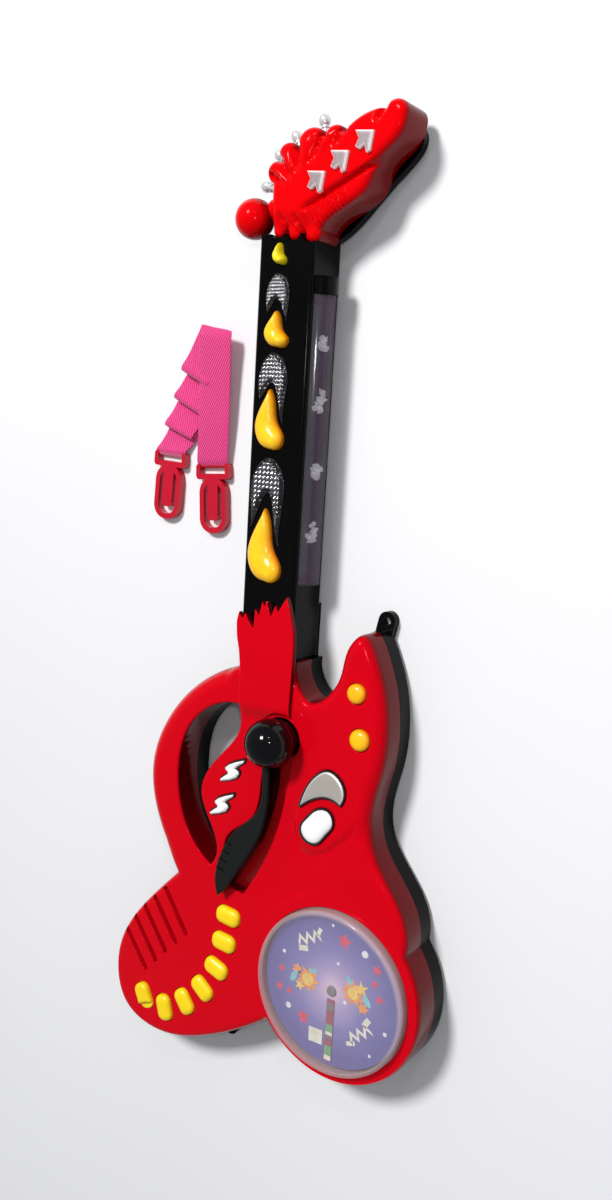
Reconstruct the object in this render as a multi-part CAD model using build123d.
"""Toy electric guitar that lies on its back.

Frame: +Z out of the guitar's face, +Y towards the headstock, +X to the right of the face. The origin is on
the flat back, on the neck's axis, at the middle of the overall length. Lengths are in millimetres.
"""
from build123d import *
import math
import os

# ---- Driving dimensions --------------------------------------------------------------------------
wall = 2.2                     # thickness of every moulded wall
seam_z = 14.0                  # parting line between the front and back shells
face_z = 34.0                  # the body's flat front
panel_z = 37.0                 # the raised flame panel
pod_z = 35.5                   # the raised pad under the oval button
shell_bevel = 2.5              # bevel of the shells' outer edges
gap = 0.3                      # clearance between pieces that move
spline_step = 6.0              # spacing of the points of a redrawn rim
travel = 1.5                   # how far a key or button sinks

collar_centre = (62.1, -210.5)
collar_radius = 57.5
lens_radius = 50.1
lens_top_z = 40.5
lens_wall = 1.6
disc_radius = 47.3
disc_z = 32.6
disc_thickness = 1.2
hub_radius = 3.2
motor_radius = 10.0
motor_flat_depth = 15.0
motor_length = 25.0
shaft_radius = 1.0

pivot = (16.0, -66.4)          # the whammy lever's axis
pivot_radius = 2.0
pivot_fit = 0.05               # radial clearance of the running fit
recess_floor_z = 26.0
lever_low_z = 27.0
lever_step_z = 35.0
lever_top_z = 42.0
knob_radius = 14.65
knob_centre_z = 46.0
knob_flat_z = 38.0
eye_radius = 13.2              # round pocket in the body about the lever's axis

neck_half_width = 18.5
neck_back_z = 3.0
neck_face_z = 33.0
neck_start_y = -19.6
neck_end_y = 222.0
heel_end_y = 12.0
tube_centre_z = 20.0
tube_half_height = 9.5
tube_bulge = 7.0
tube_start_y = 25.7
tube_end_y = 189.6
tube_wall = 1.5
light_board_x = 13.2
crystal_rows = [162.5, 131.5, 88.8, 55.8]

head_back_z = 3.0
head_seam_z = 10.0
head_face_z = 35.5
head_ball_centre = (-26.5, 231.9, 27.3)
head_ball_radius = 11.5
head_ball_root = (-14.5, 237.0)   # post that ties the ball to the headstock

peg_z = 20.0
peg_bulb = (4.2, 3.4)          # half-length and radius of a peg's bulb
peg_shank = 1.8
# bulb centre and outward angle of each peg
peg_places = [(-24.3, 251.0, 165), (-16.2, 267.6, 140), (-5.4, 276.6, 118), (12.6, 283.5, 100)]

key_size = (17.8, 11.6)
key_corner = 4.9
key_top_z = 37.2
key_step_length = 3.8          # the last key's lower end is cut down to a step
key_step_z = 34.5
body_key_places = [
    (-16.1, -188.1, -5), (-18.5, -206.3, -5), (-23.6, -225.6, -18), (-34.0, -243.1, -38),
    (-48.1, -257.3, -54), (-64.7, -267.5, -75), (-82.4, -265.2, -65),
]
button_places = [(65.4, -29.6, 5.9), (69.4, -55.8, 6.4)]
oval_place = (45.0, -113.0)
oval_top_z = 38.6
drop_top_z = 38.8
# tip x, tip y, length and width of each drop-shaped neck key
drop_places = [
    (-3.1, 217.0, 11.7, 8.2), (-3.2, 180.0, 19.9, 16.1), (-4.8, 136.4, 33.8, 19.6), (-3.9, 68.3, 42.6, 23.4),
]
# crown point, left leg tip and right leg tip of each scaled arch
arch_places = [
    ((-4.2, 200.7), (-10.0, 179.1), (3.4, 174.4)),
    ((-4.6, 157.1), (-12.5, 130.2), (4.5, 116.9)),
    ((-3.2, 97.7), (-14.0, 56.6), (6.2, 47.1)),
]
arch_top_z = 36.4

flange_margin = 1.5            # how far a key's flange reaches past its hole
flange_drop = 1.2              # from the plate's underside to the flange's top
flange_thickness = 2.0
board_drop = 11.3              # from the plate's underside to the board's top
board_thickness = 1.6
dome_height = 3.0
dome_radius = 3.6
stem_radius = 2.2

speaker_centre = (-74.0, -226.0)
speaker_radius = 19.5
groove_width = 4.2
groove_length = 23.5
groove_count = 5

battery_radius = 7.25
battery_length = 50.5
battery_centre = (42.0, -104.0)
door_size = (47.0, 74.0)
door_screw_y = 33.4            # from the door's middle
door_z = 0.3

screw_head_radius = 2.8
screw_head_height = 1.4
body_screw_seat = 3.4          # height of the screw heads' seats
neck_screw_seat = 5.4
heel_screw_seat = 1.7
screw_shank_radius = 1.35
boss_radius = 3.4
back_boss_radius = 4.2
body_screws = [
    (-48, -52), (-74, -100), (-66, -145), (-97, -243), (-40, -275), (2, -240), (88, -148), (66, -10),
    (33, -56), (-2, -38),
]
neck_screws = [(-12.5, 18), (-12.5, 86), (-12.5, 148), (-12.5, 191)]
head_screws = [(38, 262), (2, 243)]
heel_screws = [(-9, 4), (9, 4)]

switch_centre = (-30.0, -215.0)

wire_radius = 0.7
wire_routes = [
    [(24, -134.6, 8), (12, -160, 6), (-10, -190, 6), (-28, -207.6, 6.6)],
    [(57, -202.2, 8), (48, -188, 6), (20, -178, 6), (-4, -186, 9), (-12, -198, 18)],
    [(-62.2, -229, 18), (-54, -235, 11), (-43, -240, 10), (-36, -246, 18)],
    [
        (-6, -182, 18), (-4, -168, 12), (2, -132, 9), (8, -96, 10), (9, -62, 13), (5, -42, 17),
        (1.5, -22, 19), (0.4, -2, 19.2), (0.6, 15.6, 18.7),
    ],
]

# centre of each strap lug and the direction in which its web meets the body
lug_places = [(-31.1, -281.7, 113), (65.5, 8.6, 258)]
lug_outer = 5.5
lug_bore = 2.6
lug_height = 5.0

clip_tops = [(-102.6, 95.6, -3), (-67.8, 90.0, 4)]
clip_width = 26.0
clip_length = 44.0
clip_thickness = 5.0
clip_tongue_width = 8.4
clip_bar_radius = 1.4
strap_height = 15.0


# ---- Small helpers -------------------------------------------------------------------------------
def smooth_face(points):
    """Face inside one smooth closed curve"""
    return make_face(Spline(*points, periodic=True))


def grown(face, amount):
    """Face with its rim moved outwards, each side of the rim redrawn as a plain spline"""
    edges = []
    for edge in offset(face, amount).face().outer_wire().edges():
        if edge.geom_type in (GeomType.LINE, GeomType.CIRCLE):
            edges.append(edge)
            continue
        count = max(4, round(edge.length / spline_step))
        points = [edge @ (i / count) for i in range(count + 1)]
        curve = Spline(*points[:-1], periodic=True) if edge.is_closed else Spline(*points)
        edges += curve.edges()
    return make_face(edges)


def plate(face, low, high):
    """Face of the XY plane pushed from height low to height high"""
    return Pos(0, 0, low) * extrude(face, high - low)


def post(place, radius, low, high):
    """Upright cylinder"""
    return Pos(place[0], place[1], low) * extrude(Circle(radius), high - low)


def tube(place, outer, inner, low, high):
    """Upright tube"""
    return post(place, outer, low, high) - post(place, inner, low - 1, high + 1)


def around(centre, radius, angle):
    """Point on a circle, angle in degrees"""
    turn = math.radians(angle)
    return (centre[0] + radius * math.cos(turn), centre[1] + radius * math.sin(turn))


def block(low, high):
    """Box between two corners"""
    size = [b - a for a, b in zip(low, high)]
    middle = [(a + b) / 2 for a, b in zip(low, high)]
    return Pos(*middle) * Box(*size)


def along_y(face, low, high):
    """Face drawn as (x, z), pushed from y = low to y = high"""
    return Pos(0, high, 0) * Rot(90, 0, 0) * extrude(face, high - low)


def rounded_top(solid, radius):
    """Round the edges of the highest flat face"""
    return fillet(solid.faces().sort_by(Axis.Z)[-1].edges(), radius)


def bevelled_top(solid, size):
    """Bevel the edges of the highest flat face"""
    return chamfer(solid.faces().sort_by(Axis.Z)[-1].edges(), size)


def bevelled_bottom(solid, size):
    """Bevel the edges of the lowest flat face"""
    return chamfer(solid.faces().sort_by(Axis.Z)[0].edges(), size)


# ---- Outlines ------------------------------------------------------------------------------------
def body_outline():
    start = around(collar_centre, collar_radius, 218)
    low = around(collar_centre, collar_radius, 290)
    end = around(collar_centre, collar_radius, 38)
    loop = Spline((-19, -28.5), (-50.3, -43.8), (-74.2, -68.8), (-87.9, -105.9), (-79.8, -143.2), (-60, -172))
    bout = Spline(
        (-60, -172), (-90.7, -205.8), (-108.8, -243), (-100, -277.5), (-72.3, -287.3), (-33.1, -277.2),
        (1.9, -257), start,
    )
    collar = ThreePointArc(start, low, end)
    horn = Spline(
        end, (97, -143), (80, -118), (77.5, -100), (82.3, -76), (84.2, -50), (80.3, -25.6), (73, -7),
        (64.5, 3.5), (56.5, -3), (51.5, -22), (44, -35.5), (34, -41.5), (26.5, -36), (22, -20),
    )
    top = Polyline((22, -20), (-19, -20), (-19, -28.5))
    return make_face([*loop.edges(), *bout.edges(), *collar.edges(), *horn.edges(), *top.edges()])


def hole_outline():
    high = (-17, -51.5)
    low = (-32.5, -158.5)
    left = Spline(high, (-33, -54.7), (-54.8, -74.1), (-61.6, -106.8), (-52.8, -138.9), low)
    right = Spline(low, (-28.2, -148), (-33.7, -132.5), (-42.6, -113), (-34.9, -93.3), (-15, -66), high)
    return make_face([*left.edges(), *right.edges()])


def recess_outline():
    """Pocket that the lever swings in, without the round part about the pivot"""
    left = Spline((5.5, -74.5), (3.3, -94.1), (-2.7, -120.7), (-19.9, -136), (-23, -149), (-21.5, -168))
    foot = Line((-21.5, -168), (-6, -170.5))
    right = Spline((-6, -170.5), (5.3, -150.4), (14.5, -128.5), (19.7, -108.7), (24.5, -76.5))
    top = Line((24.5, -76.5), (5.5, -74.5))
    return make_face([*left.edges(), *foot.edges(), *right.edges(), *top.edges()])


def lever_outline():
    tip = (-20.1, -173.2)
    left = Spline((6.9, -80.5), (9.3, -96), (6.5, -111), (-9.5, -128), (-18.4, -143), (-22.8, -160), tip)
    right = Spline(tip, (-14.5, -167.2), (-2.5, -148.5), (10.2, -124.9), (13.8, -108), (12.9, -80.5))
    return make_face([*left.edges(), *right.edges(), Line((12.9, -80.5), (6.9, -80.5))])


def blade_outline():
    """The part of the lever that dips into the recess"""
    left = Spline((7.9, -76), (9.6, -96), (6.9, -111), (-8.7, -129.5), (-17, -144), (-19, -160))
    right = Spline((-19, -160), (-9, -149), (6, -123), (10.8, -106), (11.5, -76))
    return make_face([*left.edges(), *right.edges(), Line((11.5, -76), (7.9, -76))])


def flame_outline():
    """Raised panel whose upper edge is cut into flames"""
    line = Polyline(
        (22, -46), (-14.5, -46), (-14.8, -28), (-16.1, -17.5), (-18.2, -9), (-18.9, 0), (-17.4, 5.8),
        (-14.8, 2.3), (-12.6, 5.6), (-9.2, 0.3), (-6.4, -2.8), (-5.7, 9), (-2.7, 5.6), (-0.7, 14.3),
        (0.8, 11.7), (2.6, 14.7), (5.7, 6.2), (8.8, 13.1), (10.7, 9.7), (13.2, 13.7), (16.3, 18.8),
        (18.6, 12.9), (20.6, 5.5), (22.3, -0.6), (22.9, -8), (22.9, -19), (22, -46),
    )
    return make_face(line.edges())


def pod_outline():
    rim = [
        (48.3, -71.8), (61.1, -75.3), (64.4, -89), (62, -104.6), (54.6, -118.5), (41, -129), (29.5, -125),
        (27.5, -110), (34, -88),
    ]
    return smooth_face(rim)


def fin_outline():
    outer = Spline((32.4, -103.4), (38.5, -88.1), (43.7, -81.9), (50, -78.3), (56.6, -80.2), (59.9, -96.4))
    inner = Spline((59.9, -96.4), (50.2, -93.9), (40.3, -97.4), (32.4, -103.4))
    return make_face([*outer.edges(), *inner.edges()])


def drop_outline(tip_x, tip_y, length, width):
    """Drop that bulges to the left and ends in a toe on the lower right"""
    bulge = [(0, 1), (-0.26, 0.72), (-0.45, 0.38), (-0.28, 0.1), (0.12, 0)]
    toe = [(0.12, 0), (0.45, 0.04), (0.53, 0.18), (0.3, 0.42), (0.17, 0.78), (0, 1)]
    edges = []
    for side in (bulge, toe):
        points = [(tip_x + width * u, tip_y - length * (1 - v)) for u, v in side]
        edges += Spline(*points).edges()
    return make_face(edges)


def arch_outline(crown, left_tip, right_tip):
    """Arch whose two legs taper to points"""
    half = (right_tip[0] - left_tip[0]) / 2 + 1.2
    middle = (left_tip[0] + right_tip[0]) / 2
    shoulder = crown[1] - half * 0.55
    inner_top = crown[1] - half * 1.75
    outer = Spline(
        left_tip, (middle - half, (left_tip[1] + shoulder) / 2), (middle - half * 0.72, shoulder),
        crown,
        (middle + half * 0.78, shoulder), (middle + half, (right_tip[1] + shoulder) / 2), right_tip,
    )
    inner = Spline(
        right_tip, (middle + half * 0.5, (right_tip[1] + inner_top) / 2), (crown[0], inner_top),
        (middle - half * 0.5, (left_tip[1] + inner_top) / 2), left_tip,
    )
    return make_face([*outer.edges(), *inner.edges()])


def bolt_outline():
    """Fat lightning flash that runs down and left from its upper tip"""
    line = Polyline(
        (0, 0), (-6.4, -2.5), (-11.7, -5.2), (-14.3, -7.7), (-13.9, -9.2), (-12.2, -10.1), (-12.3, -11.3),
        (-14.9, -13.3), (-17.8, -15.8), (-17.1, -17.1), (-10.2, -15), (-5.4, -12.4), (-3.7, -9.5),
        (-4.4, -8), (-6.7, -7), (-5.1, -5.1), (-0.8, -2.2), (0, 0),
    )
    return make_face(line.edges())


def arrow_outline():
    """Arrow head with a short tail, pointing up and right"""
    head = [(-5.6, 5.7), (5.7, 4.7), (4, -5.2), (1.9, -6.2), (0.4, -2)]
    tail = [(-2.6, -4.2), (-5.1, -2.6), (-3.2, 1.6)]
    line = Polyline(*head, *tail, head[0])
    return make_face(line.edges())


def head_outline():
    """Headstock front: fan of lobes on the left, plateau to the right, three rounded drips on the neck"""
    fan = [
        (-11, 249), (-15, 257), (-7.5, 261.5), (-3.5, 270.5), (4, 267), (11.5, 277), (21.5, 272.5),
        (28.5, 277.2), (34, 273.5), (46, 281), (58.5, 283), (67.5, 286), (71.4, 277),
    ]
    lobes = [ThreePointArc(fan[i], fan[i + 1], fan[i + 2]) for i in range(0, len(fan) - 2, 2)]
    right = Spline((71.4, 277), (65.9, 265.6), (54.5, 255), (50, 244.5), (36, 234.5), (20.5, 223.5))
    drips = [
        (20.5, 223.5), (14, 216.8), (9.5, 222.5), (3.5, 218), (-1.5, 223.5), (-7, 219.6), (-11, 226),
    ]
    toes = [ThreePointArc(drips[i], drips[i + 1], drips[i + 2]) for i in range(0, len(drips) - 2, 2)]
    side = Line((-11, 226), (-11, 249))
    edges = [e for arc in lobes for e in arc.edges()] + [*right.edges()]
    return make_face(edges + [e for arc in toes for e in arc.edges()] + [*side.edges()])


def head_inner_outline():
    """Smooth hollow inside the headstock front"""
    rim = [
        (-6.5, 235), (-6.5, 251), (7, 264), (36, 269), (60, 278), (65, 273.5), (48.5, 252), (28, 236.5),
        (9, 231.5),
    ]
    return smooth_face(rim)


def head_back_outline():
    rim = [
        (-16, 222), (-13, 246), (6, 264.5), (38, 270.5), (64, 281), (69.5, 275), (54, 251), (22, 222),
        (2, 216),
    ]
    return smooth_face(rim)


# ---- Body shells ---------------------------------------------------------------------------------
def groove_cutters():
    """Slots in front of the speaker"""
    slots = []
    for i in range(groove_count):
        slot = SlotOverall(groove_length, groove_width)
        place = Pos(-56.8 - 8.45 * i, -200.8 - 8.7 * i, face_z - 6)
        slots.append(place * Rot(0, 0, -53) * extrude(slot, 12))
    return slots


def key_cap_outline(place):
    return Pos(place[0], place[1], 0) * Rot(0, 0, place[2]) * RectangleRounded(*key_size, key_corner)


def oval_outline(margin=0):
    """Egg-shaped outline of the big button"""
    rim = [
        (47.8, -101.8), (54.2, -103.8), (55.8, -109.3), (51.5, -116.3), (44.5, -123.8), (37.2, -122.6),
        (34, -116.5), (38.5, -108.9),
    ]
    return grown(smooth_face(rim), margin) if margin else smooth_face(rim)


def body_tray(low, high, open_up):
    """Half of the body as a hollow tray, with the wall around the loop's hole"""
    outline = body_outline()
    hole = hole_outline()
    solid = plate(outline, low, high) - plate(hole, low, high)
    solid = bevelled_bottom(solid, shell_bevel) if open_up else bevelled_top(solid, shell_bevel)
    cavity = grown(outline, -wall) - grown(hole, wall)
    if open_up:
        return solid - plate(cavity, low + wall, high + 1)
    return solid - plate(cavity, low - 1, high - wall)


def wire_port():
    """Passage for the wires between body and neck"""
    return block((-3, -24, 16), (3, -15, 22))


def body_front_shell():
    shell = body_tray(seam_z, face_z, open_up=False)
    recess = recess_outline()
    eye = Pos(*pivot) * Circle(eye_radius)
    pocket = grown(recess, wall) + Pos(*pivot) * Circle(eye_radius + wall)
    body_space = plate(body_outline() - hole_outline(), 0, face_z)
    shell += plate(pocket, recess_floor_z - wall, face_z - 0.5) & body_space
    shell += plate(flame_outline(), neck_face_z + 0.3, panel_z)
    shell += plate(pod_outline(), face_z - 1, pod_z)
    shell -= plate(recess, recess_floor_z, panel_z + 1)
    shell -= plate(eye, recess_floor_z, panel_z + 1)
    for x, y in body_screws:
        shell += tube((x, y), boss_radius, screw_shank_radius + 0.05, seam_z, face_z - wall + 0.1)
    shell += post(pivot, 6, recess_floor_z - 5, recess_floor_z - 0.1)
    shell -= post(pivot, pivot_radius + pivot_fit, 10, 40)
    for place in body_key_places:
        shell -= plate(offset(key_cap_outline(place), gap + 0.1), face_z - wall - 1, face_z + 1)
    for x, y, radius in button_places:
        shell -= post((x, y), radius + gap + 0.1, face_z - wall - 1, face_z + 1)
    shell -= plate(oval_outline(gap + 0.1), face_z - wall - 1, pod_z + 1)
    shell -= post(collar_centre, lens_radius + 0.1, face_z - wall - 1, face_z + 1)
    for cutter in groove_cutters():
        shell -= cutter
    return shell - wire_port()


def body_back_shell():
    shell = body_tray(0, seam_z, open_up=True)
    shell += block((-17, -22, 0), (17, heel_end_y, neck_back_z - 0.2))
    for x, y, inward in lug_places:
        web = Pos(x, y) * Rot(0, 0, inward) * Pos(4.5, 0) * Rectangle(9, 2 * lug_outer)
        shell += post((x, y), lug_outer, 0, lug_height) + plate(web, 0, lug_height)
        shell -= post((x, y), lug_bore, -1, lug_height + 1)
    for x, y in body_screws:
        shell += post((x, y), back_boss_radius, wall - 0.1, seam_z)
        shell -= post((x, y), screw_shank_radius + 0.2, -1, seam_z + 1)
        shell -= post((x, y), screw_head_radius + 0.3, -1, body_screw_seat)
    for x, y in heel_screws:
        shell -= post((x, y), screw_shank_radius + 0.2, -1, neck_back_z)
        shell -= post((x, y), screw_head_radius + 0.3, -1, heel_screw_seat)
    door = Pos(*battery_centre) * RectangleRounded(door_size[0] + 2 * gap, door_size[1] + 2 * gap, 2.5)
    shell -= plate(door, -1, wall + 1)
    x, y = switch_centre
    shell -= block((x - 2.6, y - 3.6, -1), (x + 2.6, y + 3.6, wall + 1))
    for side in (-1, 1):
        rib_x = collar_centre[0] + side * (motor_radius + 1.2)
        rib_y = collar_centre[1]
        shell += block((rib_x - 0.9, rib_y - 7, wall - 0.1), (rib_x + 0.9, rib_y + 7, 13))
    return shell


# ---- Neck and headstock --------------------------------------------------------------------------
def neck_profile(low, high):
    """Cross-section of the neck between two heights, drawn as (x, z)"""
    whole = RectangleRounded(2 * neck_half_width, neck_face_z - neck_back_z, 2.9)
    whole = Pos(0, (neck_back_z + neck_face_z) / 2) * whole
    return whole & Pos(0, (low + high) / 2) * Rectangle(4 * neck_half_width, high - low)


def neck_cavity():
    height = neck_face_z - neck_back_z - 2 * wall
    inside = RectangleRounded(2 * (neck_half_width - wall), height, 1.5)
    inside = Pos(0, (neck_back_z + neck_face_z) / 2) * inside
    return along_y(inside, neck_start_y + wall, neck_end_y - wall)


def tube_window():
    """Opening in the neck's right side for the light tube"""
    low = (neck_half_width - wall - 1, tube_start_y - 0.2, tube_centre_z - tube_half_height - 0.2)
    high = (neck_half_width + 1, tube_end_y + 0.2, tube_centre_z + tube_half_height + 0.2)
    return block(low, high)


def neck_front_shell():
    shell = along_y(neck_profile(seam_z, neck_face_z), neck_start_y, neck_end_y) - neck_cavity()
    shell -= tube_window()
    for x, y in neck_screws:
        shell += tube((x, y), 3.0, screw_shank_radius + 0.05, seam_z, neck_face_z - wall + 0.1)
    for place in drop_places:
        shell -= plate(grown(drop_outline(*place), gap + 0.1), neck_face_z - wall - 1, neck_face_z + 1)
    cap = Pos(neck_half_width, tube_centre_z) * Ellipse(tube_bulge + 0.6, tube_half_height + 0.6)
    cap -= Pos(neck_half_width - 10, tube_centre_z) * Rectangle(20 - 0.2, 40)
    cap &= Pos(0, 40) * Rectangle(80, 2 * (40 - seam_z))
    shell += along_y(cap, tube_end_y + 0.3, tube_end_y + 10)
    return shell - plate(head_outline(), head_seam_z, neck_face_z + 3) - wire_port()


def neck_back_shell():
    shell = along_y(neck_profile(neck_back_z, seam_z), neck_start_y, neck_end_y) - neck_cavity()
    shell -= tube_window()
    head = bevelled_bottom(plate(head_back_outline(), head_back_z, head_seam_z), 1.8)
    head -= plate(grown(head_back_outline(), -wall), head_back_z + wall, head_seam_z + 1)
    head -= neck_cavity()
    shell += head
    shell -= neck_cavity()
    shell -= plate(head_outline(), head_seam_z, seam_z + 1)
    for x, y in neck_screws:
        shell += post((x, y), 3.9, neck_back_z + wall - 0.1, seam_z)
    for x, y in head_screws:
        shell += post((x, y), back_boss_radius, head_back_z + wall - 0.1, head_seam_z)
    for x, y in neck_screws + head_screws:
        shell -= post((x, y), screw_shank_radius + 0.2, 0, seam_z + 1)
        shell -= post((x, y), screw_head_radius + 0.3, 0, neck_screw_seat)
    for x, y in heel_screws:
        shell += tube((x, y), 3.0, screw_shank_radius + 0.05, neck_back_z + wall - 0.1, seam_z)
        shell -= post((x, y), screw_shank_radius + 0.05, 0, seam_z - 2)
    return shell


def headstock_front_shell():
    shell = rounded_top(plate(head_outline(), head_seam_z, head_face_z), 1.2)
    shell += Pos(*head_ball_centre) * Sphere(head_ball_radius) + post(head_ball_root, 6, 14, 32)
    shell -= plate(head_inner_outline(), head_seam_z - 1, head_face_z - wall)
    for x, y in head_screws:
        shell += tube((x, y), boss_radius, screw_shank_radius + 0.05, head_seam_z, head_face_z - wall + 0.1)
    for place in peg_places:
        shell -= peg_socket(place)
    return shell


# ---- Tuning pegs ---------------------------------------------------------------------------------
def peg_frame(place):
    return Pos(place[0], place[1], peg_z) * Rot(0, 0, place[2]) * Rot(0, 90, 0)


def peg_socket(place):
    """Bore along the peg's axis, from the bulb inwards"""
    return peg_frame(place) * Pos(0, 0, -12) * Cylinder(peg_shank + 0.05, 24)


def tuning_peg(place):
    bulb = scale(Sphere(1), (peg_bulb[1], peg_bulb[1], peg_bulb[0]))
    shank = Pos(0, 0, -7.5) * Cylinder(peg_shank, 13)
    collar = Pos(0, 0, -3.4) * Cylinder(2.4, 1.4)
    return peg_frame(place) * (bulb + shank + collar)


# ---- Trims ---------------------------------------------------------------------------------------
def lightning_trims():
    tips = [(-9.4, -85.1), (-16.2, -108.3)]
    return Compound([Pos(x, y) * plate(bolt_outline(), face_z, face_z + 2.2) for x, y in tips])


def fin_trim():
    return bevelled_top(plate(fin_outline(), pod_z, pod_z + 2.4), 0.6)


def headstock_arrows():
    places = [(20.0, 247.6), (34.3, 257.0), (49.1, 265.9)]
    return Compound([Pos(x, y, head_face_z) * extrude(arrow_outline(), 3) for x, y in places])


def neck_arch_trims():
    arches = [plate(arch_outline(*place), neck_face_z, arch_top_z) for place in arch_places]
    return Compound(arches)


# ---- Light tube ----------------------------------------------------------------------------------
def tube_section(half_height, bulge):
    low = (neck_half_width, tube_centre_z - half_height)
    high = (neck_half_width, tube_centre_z + half_height)
    arc = ThreePointArc(low, (neck_half_width + bulge, tube_centre_z), high)
    return make_face([*arc.edges(), Line(high, low)])


def light_tube_lens():
    outer = along_y(tube_section(tube_half_height, tube_bulge), tube_start_y, tube_end_y)
    inner = tube_section(tube_half_height - tube_wall, tube_bulge - tube_wall)
    lens = outer - along_y(inner, tube_start_y + tube_wall, tube_end_y - tube_wall)
    lip_x = neck_half_width - wall
    low_z = tube_centre_z - tube_half_height
    high_z = tube_centre_z + tube_half_height
    rim = block((lip_x, tube_start_y, low_z), (neck_half_width + 0.1, tube_end_y, high_z))
    window_low = (lip_x - 1, tube_start_y + tube_wall, low_z + tube_wall)
    window_high = (neck_half_width + 1, tube_end_y - tube_wall, high_z - tube_wall)
    return lens + rim - block(window_low, window_high)


def light_board():
    return block((light_board_x - 1.2, 30, 13), (light_board_x, 185, 25.5))


def light_crystals():
    gems = []
    for y in crystal_rows:
        gem = extrude(RegularPolygon(4.2, 8), 7.5, taper=18)
        gems.append(Pos(light_board_x, y, tube_centre_z) * Rot(0, 90, 0) * gem)
    return Compound(gems)


# ---- Keys and buttons ----------------------------------------------------------------------------
def cap_base(underside):
    """Height at which a cap meets its flange"""
    return underside - flange_drop - 0.1


def key_shape(cap, flange_face, place, underside):
    """Cap through the plate, flange under it and a stem that ends just above its rubber dome"""
    flange_top = underside - flange_drop
    flange = plate(flange_face, flange_top - flange_thickness, flange_top)
    stem = post(place, stem_radius, underside - board_drop + dome_height + travel + gap, flange_top - 0.5)
    return cap + flange + stem


def body_key(place):
    outline = key_cap_outline(place)
    cap = rounded_top(plate(outline, cap_base(face_z - wall), key_top_z), 2.6)
    return key_shape(cap, offset(outline, flange_margin), place, face_z - wall)


def stepped_key(place):
    """Key whose lower end is cut down to a step"""
    cut = Pos(key_size[0] / 2, 0, key_step_z + 5) * Box(2 * key_step_length, 2 * key_size[1], 10)
    return body_key(place) - Pos(place[0], place[1], 0) * Rot(0, 0, place[2]) * cut


def round_button(x, y, radius):
    cap = rounded_top(post((x, y), radius, cap_base(face_z - wall), key_top_z), 2.2)
    return key_shape(cap, Pos(x, y) * Circle(radius + flange_margin), (x, y), face_z - wall)


def oval_button():
    outline = oval_outline()
    cap = bevelled_top(plate(outline, cap_base(face_z - wall), oval_top_z), 1.2)
    return key_shape(cap, oval_outline(flange_margin), oval_place, face_z - wall)


def drop_centre(place):
    return (place[0] - 0.02 * place[3], place[1] - 0.66 * place[2])


def neck_key(place):
    outline = drop_outline(*place)
    cap = bevelled_top(plate(outline, cap_base(neck_face_z - wall), drop_top_z), place[3] * 0.08)
    return key_shape(cap, grown(outline, flange_margin), drop_centre(place), neck_face_z - wall)


def dome(place, underside):
    """Rubber dome on the board under a key"""
    low = underside - board_drop
    return Pos(place[0], place[1], low) * extrude(Circle(dome_radius), dome_height, taper=20)


def rubber_domes():
    body = [(x, y) for x, y, _ in body_key_places + button_places] + [oval_place]
    domes = [dome(place, face_z - wall) for place in body]
    domes += [dome(drop_centre(place), neck_face_z - wall) for place in drop_places]
    return Compound(domes)


def board(face, underside):
    top = underside - board_drop
    return plate(face, top - board_thickness, top)


def key_board():
    strip = [
        (-3, -176), (-5, -206), (-14, -232), (-42, -270.5), (-92, -275), (-95, -250), (-62, -252),
        (-31, -229), (-27, -176),
    ]
    level = board(smooth_face(strip), face_z - wall)
    level -= post(speaker_centre, speaker_radius + 2, 0, 40)
    level -= post(body_screws[4], boss_radius + 0.5, 0, 40)
    return level


def button_board():
    strip = [
        (61, -22), (74, -24), (77.5, -60), (70, -90), (60, -120), (40, -126), (35, -108), (58, -80),
        (59, -50),
    ]
    return board(smooth_face(strip), face_z - wall)


def neck_board():
    strip = Pos(-0.3, 115) * RectangleRounded(17.8, 196, 2)
    return board(strip, neck_face_z - wall)


# ---- Disc window ---------------------------------------------------------------------------------
def disc_lens():
    low = face_z - wall - 2.2
    cup = rounded_top(post(collar_centre, lens_radius, low, lens_top_z), 2.4)
    cup -= post(collar_centre, lens_radius - lens_wall, low - 1, lens_top_z - lens_wall)
    flange = tube(collar_centre, lens_radius + 2, lens_radius - lens_wall, low, low + 2)
    return cup + flange


def disc_slot():
    x, y = collar_centre
    return block((x - 2.6, y - 45, disc_z - 1), (x + 2.6, y - 5.5, disc_z + disc_thickness + 1))


def spin_disc():
    disc = post(collar_centre, disc_radius, disc_z, disc_z + disc_thickness)
    return disc - post(collar_centre, hub_radius, 0, 50) - disc_slot()


def disc_strip():
    x, y = collar_centre
    return block((x - 2.6, y - 45, disc_z), (x + 2.6, y - 5.5, disc_z + disc_thickness + 0.5))


def disc_hub():
    """Hub, with its stub pressed on the motor's shaft"""
    hub = rounded_top(post(collar_centre, hub_radius, disc_z, disc_z + 2.6), 0.8)
    hub += post(collar_centre, hub_radius + 1.5, disc_z - 1.2, disc_z)
    return hub - post(collar_centre, shaft_radius, disc_z - 5, disc_z + 1.6)


def motor_shaft():
    return post(collar_centre, shaft_radius, 10, disc_z + 1.6)


def motor_can():
    can = Pos(*collar_centre) * (Circle(motor_radius) & Rectangle(4 * motor_radius, motor_flat_depth))
    body = rounded_top(plate(can, wall, wall + motor_length), 1)
    body += post(collar_centre, 3, wall + motor_length - 0.5, wall + motor_length + 1.6)
    return body - post(collar_centre, shaft_radius + pivot_fit, 9.5, 60)


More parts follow.
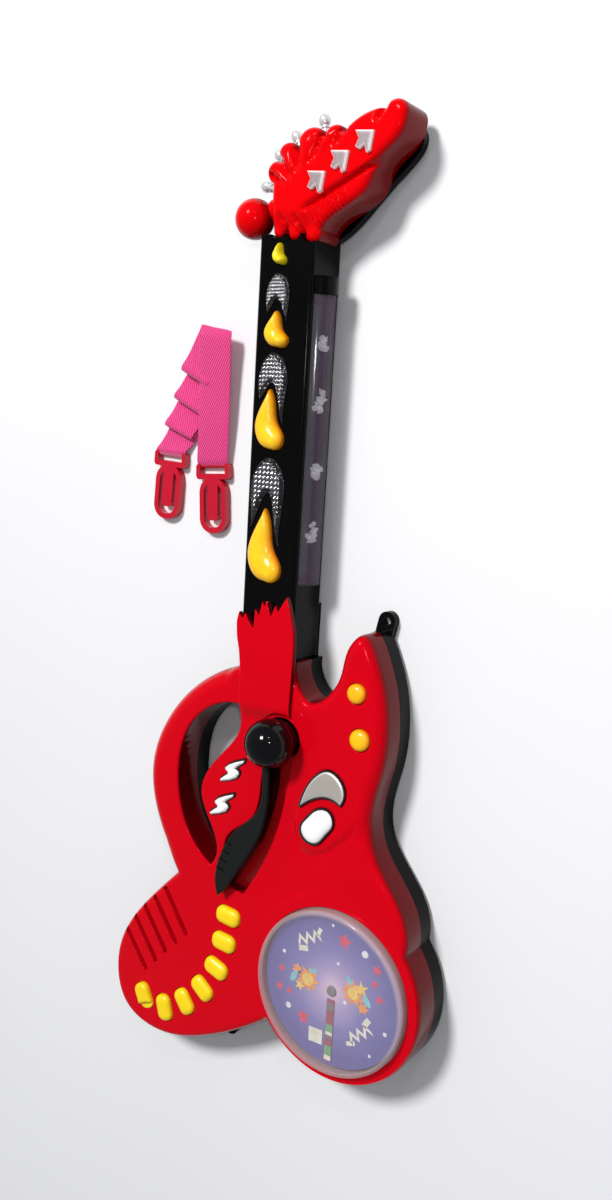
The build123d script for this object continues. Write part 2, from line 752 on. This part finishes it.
# ---- Whammy lever --------------------------------------------------------------------------------
def whammy_lever():
    arm = rounded_top(plate(lever_outline(), lever_step_z, lever_top_z), 1.6)
    for i in range(4):
        arm -= Pos(-14.5 - 1.6 * i, -136 - 6 * i, lever_top_z) * Rot(0, 0, -12) * Box(9, 2.0, 2.4)
    lever = arm + plate(blade_outline(), lever_low_z, lever_step_z + 0.1)
    lever += post(pivot, 12.2, lever_low_z, knob_flat_z)
    return lever - post(pivot, pivot_radius, lever_low_z - 1, knob_flat_z + 1)


def lever_knob():
    ball = Pos(pivot[0], pivot[1], knob_centre_z) * Sphere(knob_radius)
    ball -= block((-30, -120, 0), (60, -20, knob_flat_z))
    return ball - post(pivot, pivot_radius, knob_flat_z - 1, knob_flat_z + 8)


def lever_pivot():
    """Pin that joins knob and lever and turns in the shell's boss, with a retaining head under it"""
    pin = post(pivot, pivot_radius, recess_floor_z - 6.5, knob_flat_z + 8)
    return pin + post(pivot, 4.5, recess_floor_z - 7.5, recess_floor_z - 5.3)


def lever_spring():
    """Torsion spring round the boss"""
    coil = Helix(1.5, 3.9, 6.9)
    start = coil @ 0
    section = Plane(origin=start, z_dir=coil % 0) * Circle(0.5)
    spring = sweep(section, path=coil)
    return Pos(pivot[0], pivot[1], recess_floor_z - wall - 4.6) * spring


# ---- Speaker, power and small fittings -----------------------------------------------------------
def speaker_frame():
    high = face_z - wall
    ring = tube(speaker_centre, speaker_radius, speaker_radius - 2.5, high - 2.2, high)
    basket = Pos(*speaker_centre, high - 10) * extrude(Circle(10), 8, taper=-43)
    basket -= Pos(*speaker_centre, high - 9) * extrude(Circle(9), 9.5, taper=-42)
    magnet = post(speaker_centre, 11, high - 17, high - 10)
    return ring + basket + magnet


def speaker_cone():
    high = face_z - wall
    cone = Pos(*speaker_centre, high - 8) * extrude(Circle(7), 6.5, taper=-45)
    cone -= Pos(*speaker_centre, high - 7.2) * extrude(Circle(6.8), 6.5, taper=-45)
    return cone & post(speaker_centre, speaker_radius - 5.6, 0, 60)


def battery_rows():
    pitch = 2 * battery_radius + 0.4
    return [(battery_centre[0] + (i - 1) * pitch, battery_centre[1]) for i in range(3)]


def batteries():
    cells = []
    for i, (x, y) in enumerate(battery_rows()):
        nose = -1 if i == 1 else 1
        cell = Pos(x, y, 10.2) * Rot(90, 0, 0) * Cylinder(battery_radius, battery_length - 1)
        cell += Pos(x, y + nose * battery_length / 2, 10.2) * Rot(90, 0, 0) * Cylinder(2.7, 1.6)
        cells.append(cell)
    return Compound(cells)


def battery_tray():
    """Three-cell tray, open towards the door"""
    x, y = battery_centre
    half_x = 3 * battery_radius + 2.4
    half_y = battery_length / 2 + 4.5
    tray = block((x - half_x, y - half_y, wall + 1.2), (x + half_x, y + half_y, 18.9))
    tray -= block((x - half_x + 1.4, y - half_y + 1.4, 0), (x + half_x - 1.4, y + half_y - 1.4, 17.7))
    tray += post((x, y + door_screw_y), 3.8, wall + 1.2, 12)
    return tray - post((x, y + door_screw_y), 1.7, 0, 9)


def battery_contacts():
    """Plates and coil springs at both ends of the cells"""
    x, y = battery_centre
    reach = battery_length / 2
    parts = []
    for side in (-1, 1):
        wall_y = y + side * (reach + 2.9)
        parts.append(block((x - 21, wall_y - 0.2, 5), (x + 21, wall_y + 0.2, 15)))
    for i, (cx, cy) in enumerate(battery_rows()):
        side = 1 if i == 1 else -1
        low = cy + side * (reach - 0.3)
        high = cy + side * (reach + 2.6)
        spring = Cylinder(3.2, abs(high - low)) - Cylinder(2.5, 5)
        parts.append(Pos(cx, (low + high) / 2, 10.2) * Rot(90, 0, 0) * spring)
    return Compound(parts)


def battery_door():
    x, y = battery_centre
    panel = Pos(x, y) * RectangleRounded(door_size[0], door_size[1], 2.2)
    door = plate(panel, door_z, door_z + 1.8)
    for i in range(5):
        door -= block((x - 9, y - 22 + 2.4 * i, 0), (x + 9, y - 20.9 + 2.4 * i, door_z + 0.5))
    return door - post((x, y + door_screw_y), 1.5, 0, 4)


def door_screw():
    x, y = battery_centre
    middle = y + door_screw_y
    screw = post((x, middle), 1.4, door_z, door_z + 7) + post((x, middle), 2.4, door_z + 1.8, door_z + 2.4)
    return screw - block((x - 2, middle - 0.3, 0), (x + 2, middle + 0.3, door_z + 0.6))


def power_switch():
    x, y = switch_centre
    knob = block((x - 2.2, y - 3.2, 0.4), (x + 2.2, y + 0.2, 4.2))
    return knob + block((x - 2.8, y - 4.6, 2.6), (x + 2.8, y + 1.6, 3.6))


def switch_housing():
    x, y = switch_centre
    return block((x - 4, y - 6.5, 4.5), (x + 4, y + 6.5, 9))


def case_screw(x, y, seat, length):
    """Screw with a cross recess in its head"""
    low = seat - screw_head_height
    screw = post((x, y), screw_head_radius, low, seat)
    screw += post((x, y), screw_shank_radius, seat, seat + length)
    screw -= block((x - 1.8, y - 0.35, low - 1), (x + 1.8, y + 0.35, low + 0.8))
    return screw - block((x - 0.35, y - 1.8, low - 1), (x + 0.35, y + 1.8, low + 0.8))


def case_screws():
    screws = [case_screw(x, y, body_screw_seat, 16) for x, y in body_screws]
    screws += [case_screw(x, y, neck_screw_seat, 15) for x, y in neck_screws + head_screws]
    screws += [case_screw(x, y, heel_screw_seat, 8) for x, y in heel_screws]
    return Compound(screws)


def wire(route):
    """Wire along straight runs joined by arcs as large as the runs allow"""
    points = [Vector(*point) for point in route]
    radii = []
    for before, corner, after in zip(points, points[1:], points[2:]):
        half_turn = math.radians((corner - before).get_angle(after - corner)) / 2
        shorter = min((corner - before).length, (after - corner).length)
        radii.append(0.45 * shorter / math.tan(half_turn))
    path = FilletPolyline(*points, radius=radii)
    section = Plane(origin=path @ 0, z_dir=path % 0) * Circle(wire_radius)
    return sweep(section, path=path)


def wiring():
    return Compound([wire(route) for route in wire_routes])


# ---- Strap ---------------------------------------------------------------------------------------
def strap_webbing():
    """Folded bundle of webbing that lies beside the neck"""
    outline = Polyline(
        (-91, 169), (-70, 176), (-53, 173), (-52, 130), (-51, 98), (-54, 94), (-80, 93.5), (-88, 98.5),
        (-114, 99), (-99, 118), (-86, 140), (-91, 169),
    )
    return bevelled_top(plate(make_face(outline.edges()), 0, strap_height), 3)


def strap_clip(top):
    """Frame with a round bar for the webbing, and a long ring that a springy tongue nearly fills"""
    frame = Pos(0, -5) * RectangleRounded(clip_width, 10, 2.5)
    frame -= Pos(0, -3.2) * Rectangle(clip_width - 6, 6.4)
    ring = RectangleRounded(clip_width - 5, clip_length - 9, 9.5)
    ring -= RectangleRounded(clip_width - 12, clip_length - 16, 6)
    tongue = Pos(0, -21.5) * RectangleRounded(clip_tongue_width, 29, 3.5)
    outline = frame + Pos(0, -26.5) * ring + (tongue & Pos(0, -22) * Rectangle(20, 30))
    bar = Pos(0, -clip_bar_radius, clip_thickness / 2) * Rot(0, 90, 0) * Cylinder(clip_bar_radius, clip_width - 5)
    return Pos(top[0], top[1], 0) * Rot(0, 0, top[2]) * (plate(outline, 0, clip_thickness) + bar)


# ---- Nodes ---------------------------------------------------------------------------------------
def all_parts():
    parts = {
        "body_front_shell": body_front_shell(),
        "body_back_shell": body_back_shell(),
        "neck_front_shell": neck_front_shell(),
        "neck_back_shell": neck_back_shell(),
        "headstock_front_shell": headstock_front_shell(),
        "light_tube_lens": light_tube_lens(),
        "light_board": light_board(),
        "light_crystals": light_crystals(),
        "lightning_trims": lightning_trims(),
        "fin_trim": fin_trim(),
        "headstock_arrows": headstock_arrows(),
        "neck_arch_trims": neck_arch_trims(),
        "rubber_domes": rubber_domes(),
        "key_board": key_board(),
        "button_board": button_board(),
        "neck_board": neck_board(),
        "disc_lens": disc_lens(),
        "spin_disc": spin_disc(),
        "disc_strip": disc_strip(),
        "disc_hub": disc_hub(),
        "motor_shaft": motor_shaft(),
        "motor_can": motor_can(),
        "whammy_lever": whammy_lever(),
        "lever_knob": lever_knob(),
        "lever_pivot": lever_pivot(),
        "lever_spring": lever_spring(),
        "speaker_frame": speaker_frame(),
        "speaker_cone": speaker_cone(),
        "batteries": batteries(),
        "battery_tray": battery_tray(),
        "battery_contacts": battery_contacts(),
        "battery_door": battery_door(),
        "door_screw": door_screw(),
        "power_switch": power_switch(),
        "switch_housing": switch_housing(),
        "case_screws": case_screws(),
        "wiring": wiring(),
        "oval_button": oval_button(),
        "strap_webbing": strap_webbing(),
    }
    for i, place in enumerate(body_key_places, 1):
        parts[f"body_key_{i}"] = stepped_key(place) if i == len(body_key_places) else body_key(place)
    for i, place in enumerate(drop_places, 1):
        parts[f"neck_key_{i}"] = neck_key(place)
    for i, place in enumerate(button_places, 1):
        parts[f"round_button_{i}"] = round_button(*place)
    for i, place in enumerate(peg_places, 1):
        parts[f"tuning_peg_{i}"] = tuning_peg(place)
    for i, top in enumerate(clip_tops, 1):
        parts[f"strap_clip_{i}"] = strap_clip(top)
    return parts


os.makedirs("parts", exist_ok=True)
for name, solid in all_parts().items():
    export_step(solid, f"parts/{name}.step")
